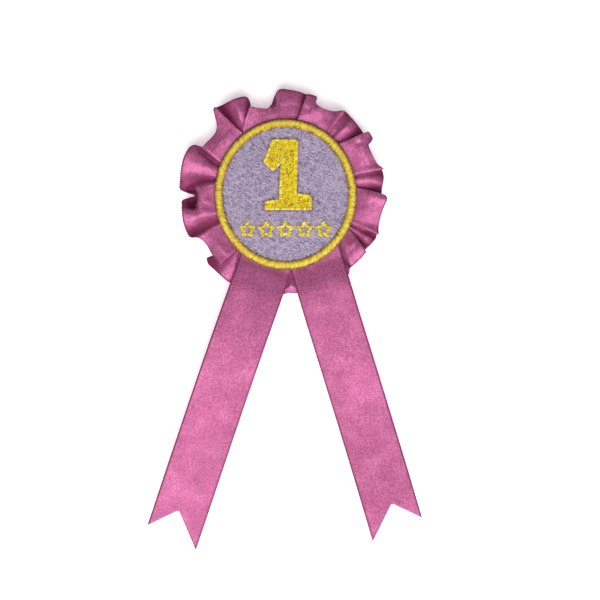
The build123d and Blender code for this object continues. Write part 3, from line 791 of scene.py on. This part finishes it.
# ---- materials ----
class Material:
    """A node material: its shader's sockets by name, and a short way to add nodes."""

    def __init__(self, name, **constants):
        self.material = bpy.data.materials.new(name)
        self.material.use_nodes = True
        self.tree = self.material.node_tree
        self.shader = self.tree.nodes["Principled BSDF"]
        self.set(**constants)

    def set(self, **values):
        for key, value in values.items():
            self.put(self.shader.inputs[key.replace("_", " ")], value)

    def put(self, socket, value):
        if isinstance(value, bpy.types.NodeSocket):
            self.tree.links.new(value, socket)
        else:
            socket.default_value = value

    def node(self, kind, inputs=(), output=0, **settings):
        made = self.tree.nodes.new("ShaderNode" + kind)
        for key, value in settings.items():
            setattr(made, key, value)
        for key, value in dict(inputs).items():
            self.put(made.inputs[key], value)
        return made.outputs[output]

    def place(self, stretch=(1, 1, 1), turn=0.0):
        """Object position in millimetres, stretched and turned."""
        position = self.node("TexCoord", output="Object")
        scale = [1000 * k for k in stretch]
        return self.node("Mapping", {"Vector": position, "Scale": scale, "Rotation": (0, turn, 0)})

    def noise(self, vector, scale, detail=2.0, roughness=0.5):
        inputs = {"Vector": vector, "Scale": scale, "Detail": detail, "Roughness": roughness}
        return self.node("TexNoise", inputs, output="Fac")

    def ramp(self, value, *stops):
        """Colours or greys at places from 0 to 1."""
        made = self.tree.nodes.new("ShaderNodeValToRGB")
        self.put(made.inputs["Fac"], value)
        while len(made.color_ramp.elements) < len(stops):
            made.color_ramp.elements.new(0.5)
        for element, (position, colour) in zip(made.color_ramp.elements, stops):
            element.position = position
            grey = not isinstance(colour, tuple)
            element.color = (colour, colour, colour, 1) if grey else srgb(colour)
        return made.outputs["Color"]

    def mix(self, factor, a, b, blend="MIX"):
        a, b = (srgb(colour) if isinstance(colour, tuple) else colour for colour in (a, b))
        inputs = {0: factor, 6: a, 7: b}
        return self.node("Mix", inputs, output=2, data_type="RGBA", blend_type=blend)

    def math(self, operation, a, b=0.0):
        return self.node("Math", {0: a, 1: b}, operation=operation)

    def axis(self, vector, k):
        return self.node("SeparateXYZ", {0: vector}, output=k)

    def total(self, *terms):
        """Sum of values, each times its factor."""
        result, *others = [self.math("MULTIPLY", value, factor) for value, factor in terms]
        for other in others:
            result = self.math("ADD", result, other)
        return result

    def bump(self, *layers):
        """Bumps in order, each a height and its depth in millimetres."""
        normal = None
        for height, depth in layers:
            inputs = {"Strength": 1.0, "Distance": depth * MM, "Height": height}
            if normal:
                inputs["Normal"] = normal
            normal = self.node("Bump", inputs, output="Normal")
        self.set(Normal=normal)


def srgb(colour):
    """Linear colour from 0 to 255 display values."""
    linear = [c / 255 / 12.92 if c <= 10 else ((c / 255 + 0.055) / 1.055) ** 2.4 for c in colour]
    return (*linear, 1.0)


def satin_material():
    """Satin with its grain, its woven edges and painted shade inside its folds."""
    m = Material("pink satin", Sheen_Weight=0.07, Sheen_Roughness=0.35, Anisotropic=0.35)
    m.set(Sheen_Tint=srgb((255, 215, 235)), Specular_IOR_Level=0.25)
    uv = m.node("UVMap", output="UV", uv_map="ribbon")
    u, v = m.axis(uv, 0), m.axis(uv, 1)
    # 25 mm across is 1 in both coordinates; warp threads run along the ribbon
    warp = m.noise(m.node("Mapping", {"Vector": uv, "Scale": (5.0, 190.0, 1.0)}), 1.0, 1.0)
    weft = m.noise(m.node("Mapping", {"Vector": uv, "Scale": (150.0, 14.0, 1.0)}), 1.0, 1.0)
    cloud = m.noise(m.place(), 0.11, 3.0)
    speck = m.noise(m.place(), 1.1, 3.0, 0.65)
    glint = m.noise(m.place(), 1.5, 1.0, 0.5)
    # the woven edge: a raised cord of finer threads, a little darker
    edge_share = m.math("ABSOLUTE", m.math("SUBTRACT", v, 0.5))
    selvedge = m.ramp(edge_share, (0.455, 0.0), (0.480, 1.0))
    picks = m.math("SINE", m.math("MULTIPLY", u, 2 * pi * 27))
    base = m.ramp(cloud, (0.30, (165, 83, 125)), (0.55, (177, 93, 136)), (0.75, (189, 104, 148)))
    streaks = m.total((warp, 0.3), (speck, 0.35), (glint, 0.35))
    streaks = m.ramp(streaks, (0.43, 0.66), (0.57, 1.13))
    base = m.mix(1.0, base, streaks, "MULTIPLY")
    picked = m.math("MULTIPLY", m.math("ADD", picks, 1.0), 0.5)
    dashes = m.ramp(picked, (0.25, (88, 32, 64)), (0.8, (174, 78, 130)))
    # painted shade: from 0 on the open ribbon to 1 deep in a fold; it darkens the colour, and makes the
    # satin rougher and less metallic there
    painted_fold_shade = m.node("Attribute", output="Fac", attribute_name="tone")
    # painted shade: the colour turns deep maroon inside the folds
    base = m.mix(m.math("MULTIPLY", painted_fold_shade, 0.9), m.mix(selvedge, base, dashes), (104, 8, 56))
    m.set(Base_Color=base)
    gloss = m.math("ADD", 0.4, m.math("MULTIPLY", speck, 0.18))
    m.set(Roughness=m.math("ADD", gloss, m.math("MULTIPLY", painted_fold_shade, 0.4)))
    m.set(Metallic=m.math("SUBTRACT", 0.42, m.math("MULTIPLY", painted_fold_shade, 0.36)))
    cord = m.math("MULTIPLY", selvedge, m.math("ADD", 2.0, picks))
    m.bump((warp, 0.05), (weft, 0.03), (speck, 0.07), (glint, 0.035), (cord, 0.025))
    return m.material


def thread_material(name, dark, middle, light, roughness, speck=0.5):
    """Spun thread. Each thread has its own tone, from dark to light."""
    m = Material(name, Roughness=roughness, Sheen_Weight=0.1, Sheen_Roughness=0.5)
    m.set(Specular_IOR_Level=0.3)
    tone = m.node("Attribute", output="Fac", attribute_name="tone")
    fibres = m.noise(m.place(), 6.0, 2.0, 0.6)
    wear = m.noise(m.place(), 0.35, 2.0)
    level = m.math("ADD", tone, m.math("MULTIPLY", m.math("SUBTRACT", fibres, 0.5), speck))
    level = m.math("ADD", level, m.math("MULTIPLY", m.math("SUBTRACT", wear, 0.5), 0.5))
    m.set(Base_Color=m.ramp(level, (0.08, dark), (0.45, middle), (0.95, light)))
    m.bump((fibres, 0.06))
    return m.material


def felt_material():
    """Pressed wool felt, with fibres in all directions and some longer ones."""
    m = Material("felt", Roughness=0.95, Sheen_Weight=0.6, Sheen_Roughness=0.6)
    fibres = m.noise(m.place(), 2.2, 5.0, 0.7)
    long_fibres = m.noise(m.place((1, 1, 0.25), 0.6), 3.5, 3.0, 0.6)
    cloud = m.noise(m.place(), 0.12, 2.0)
    level = m.total((fibres, 0.6), (cloud, 0.4))
    m.set(Base_Color=m.ramp(level, (0.32, (84, 26, 54)), (0.5, (128, 46, 86)), (0.68, (160, 70, 114))))
    m.bump((fibres, 0.35), (long_fibres, 0.2))
    return m.material


def weave_material(name, dark, light, pitch, depth, gap=0.5):
    """Plain weave of threads a pitch apart, in millimetres."""
    m = Material(name, Roughness=0.85, Sheen_Weight=0.15)
    place = m.place(turn=0.12)
    across, up = (
        m.math("SINE", m.math("MULTIPLY", m.axis(place, k), 2 * pi / pitch)) for k in (0, 2)
    )
    weave = m.math("ADD", m.math("MULTIPLY", m.math("MULTIPLY", across, up), 0.5), 0.5)
    fuzz = m.noise(m.place(), 3.0, 3.0)
    level = m.total((weave, 1 - gap), (fuzz, gap))
    m.set(Base_Color=m.ramp(level, (0.25, dark), (0.75, light)))
    m.bump((weave, depth), (fuzz, depth * 0.6))
    return m.material


def board_material():
    """Grey board of recycled fibres."""
    m = Material("grey board", Roughness=0.9)
    fibres = m.noise(m.place((1, 1, 0.4)), 2.5, 4.0, 0.65)
    flecks = m.noise(m.place(), 6.0, 2.0)
    level = m.total((fibres, 0.7), (flecks, 0.3))
    greys = (0.35, (126, 120, 110)), (0.52, (158, 152, 142)), (0.7, (184, 178, 168))
    m.set(Base_Color=m.ramp(level, *greys))
    m.bump((fibres, 0.06))
    return m.material


def glue_material():
    """Hot-melt glue, milky and a little stringy."""
    m = Material("hot glue", Subsurface_Weight=0.5, Subsurface_Radius=(0.002, 0.0018, 0.0014))
    strings = m.noise(m.place(), 0.5, 3.0)
    m.set(Base_Color=m.ramp(strings, (0.3, (206, 198, 172)), (0.7, (234, 228, 208))))
    m.set(Roughness=m.math("ADD", 0.25, m.math("MULTIPLY", strings, 0.3)))
    m.bump((strings, 0.3))
    return m.material


def steel_material(name, stretch):
    """Nickel-plated steel with fine drawing lines along one direction, and rubbed spots."""
    m = Material(name, Metallic=1.0)
    lines = m.noise(m.place(stretch), 4.0, 2.0)
    rubbed = m.noise(m.place(), 0.8, 3.0, 0.6)
    m.set(Base_Color=m.ramp(rubbed, (0.3, (188, 187, 184)), (0.6, (206, 206, 208))))
    m.set(Roughness=m.math("ADD", 0.16, m.math("MULTIPLY", m.math("ADD", lines, rubbed), 0.09)))
    m.bump((lines, 0.012))
    return m.material


satin = satin_material()
gold = thread_material("gold thread", (116, 84, 26), (184, 155, 36), (226, 204, 80), 0.42)
lilac = thread_material("lilac thread", (90, 77, 110), (156, 139, 166), (192, 179, 197), 0.6)
yellow = thread_material("yellow thread", (164, 130, 0), (218, 190, 0), (232, 213, 14), 0.42, 0.6)
yellow_light = thread_material(
    "yellow thread light", (168, 136, 10), (212, 188, 34), (236, 222, 104), 0.4,
)
sewing = thread_material("sewing thread", (104, 34, 72), (150, 62, 108), (186, 98, 146), 0.6)
finishes = {
    ruffle: satin, tail_left: satin, tail_right: satin,
    ground: lilac, numeral_fill: yellow, numeral_edge: yellow_light, stars: yellow_light, rim: gold,
    bar_sewing: sewing, tail_sewing: sewing, gathering: sewing,
    felt: felt_material(),
    twill: weave_material("patch twill", (120, 104, 146), (170, 154, 192), 0.5, 0.05),
    buckram: weave_material("buckram", (190, 186, 174), (226, 222, 212), 0.7, 0.08),
    pad: weave_material("wadding", (206, 200, 190), (232, 228, 220), 0.9, 0.12, gap=0.8),
}
steel_along = steel_material("nickel steel drawn", (0.06, 1, 1))
steel_cut = steel_material("nickel steel pressed", (1, 0.3, 1))
for node, finish in {
    "mounting_card": board_material(), "patch_glue": glue_material(),
    "pin_bar": steel_along, "pin_needle": steel_along, "catch_barrel": steel_along,
    "hinge_bracket": steel_cut, "hinge_rivet": steel_cut, "catch_post": steel_cut,
}.items():
    finishes[frame["nodes"][node]] = finish
for piece, finish in finishes.items():
    piece.data.materials.clear()
    piece.data.materials.append(finish)

# ---- stage, light and camera ----
stage_grey = (0.90, 0.90, 0.90, 1)


def stage_material(name, one_sided):
    """Plain pale paper. The wall's back lets light and views through."""
    m = Material(name, Roughness=0.9, Base_Color=stage_grey, Specular_IOR_Level=0.1)
    m.set(Emission_Color=stage_grey, Emission_Strength=0.4 if one_sided else 0.0)
    if one_sided:
        backfacing = m.node("NewGeometry", output="Backfacing")
        shadow = m.node("LightPath", output="Is Shadow Ray")
        clear = m.node("BsdfTransparent")
        mixed = m.node(
            "MixShader", {0: m.math("MAXIMUM", backfacing, shadow), 1: m.shader.outputs[0], 2: clear},
        )
        m.put(m.tree.nodes["Material Output"].inputs["Surface"], mixed)
    return m.material


def stage_sheet(name, corners, finish):
    """One flat rectangle of the stage."""
    mesh = bpy.data.meshes.new(name)
    mesh.from_pydata(corners, [], [(0, 1, 2, 3)])
    mesh.materials.append(finish)
    sheet = bpy.data.objects.new(name, mesh)
    bpy.context.scene.collection.objects.link(sheet)


wall_y = 0.0042  # just behind the needle
floor_z = -1.1
wall_reach = 1.1
floor_reach = 2
stage_sheet(
    "backdrop",
    [(x, wall_y, z) for x, z in (
        (-wall_reach, floor_z), (wall_reach, floor_z), (wall_reach, wall_reach), (-wall_reach, wall_reach),
    )],
    stage_material("pale wall", True),
)
stage_sheet(
    "floor",
    [(x * floor_reach, y * floor_reach, floor_z) for x, y in ((-1, -1), (1, -1), (1, 1), (-1, 1))],
    stage_material("pale floor", False),
)

world = bpy.data.worlds.new("studio")
world.use_nodes = True
background = world.node_tree.nodes["Background"]
background.inputs["Color"].default_value = (1, 1, 1, 1)
background.inputs["Strength"].default_value = 0.3
bpy.context.scene.world = world


def area_light(name, position, size, power):
    """A round soft light, aimed at the middle of the rosette."""
    middle = Vector((0, 0, -0.05))
    lamp = bpy.data.lights.new(name, "AREA")
    lamp.shape = "DISK"
    lamp.size = size
    lamp.energy = power
    light = bpy.data.objects.new(name, lamp)
    light.location = position
    light.rotation_euler = (middle - Vector(position)).to_track_quat("-Z", "Y").to_euler()
    bpy.context.scene.collection.objects.link(light)


area_light("key", (0.05, -1.1, -0.62), 0.95, 19.3)
area_light("rear fill", (-0.35, 1.2, 0.45), 0.9, 11.0)

camera_data = bpy.data.cameras.new("camera")
camera_data.lens = 85
camera_data.sensor_width = 36
camera_data.clip_start = 0.01
camera = bpy.data.objects.new("camera", camera_data)
camera_distance, camera_right, camera_drop = 0.665, 0.0067, 0.0488
camera.location = (camera_right, -camera_distance, patch_z - camera_drop)
camera.rotation_euler = (pi / 2, 0, 0)
bpy.context.scene.collection.objects.link(camera)
bpy.context.scene.camera = camera
bpy.context.scene.view_settings.view_transform = "Standard"
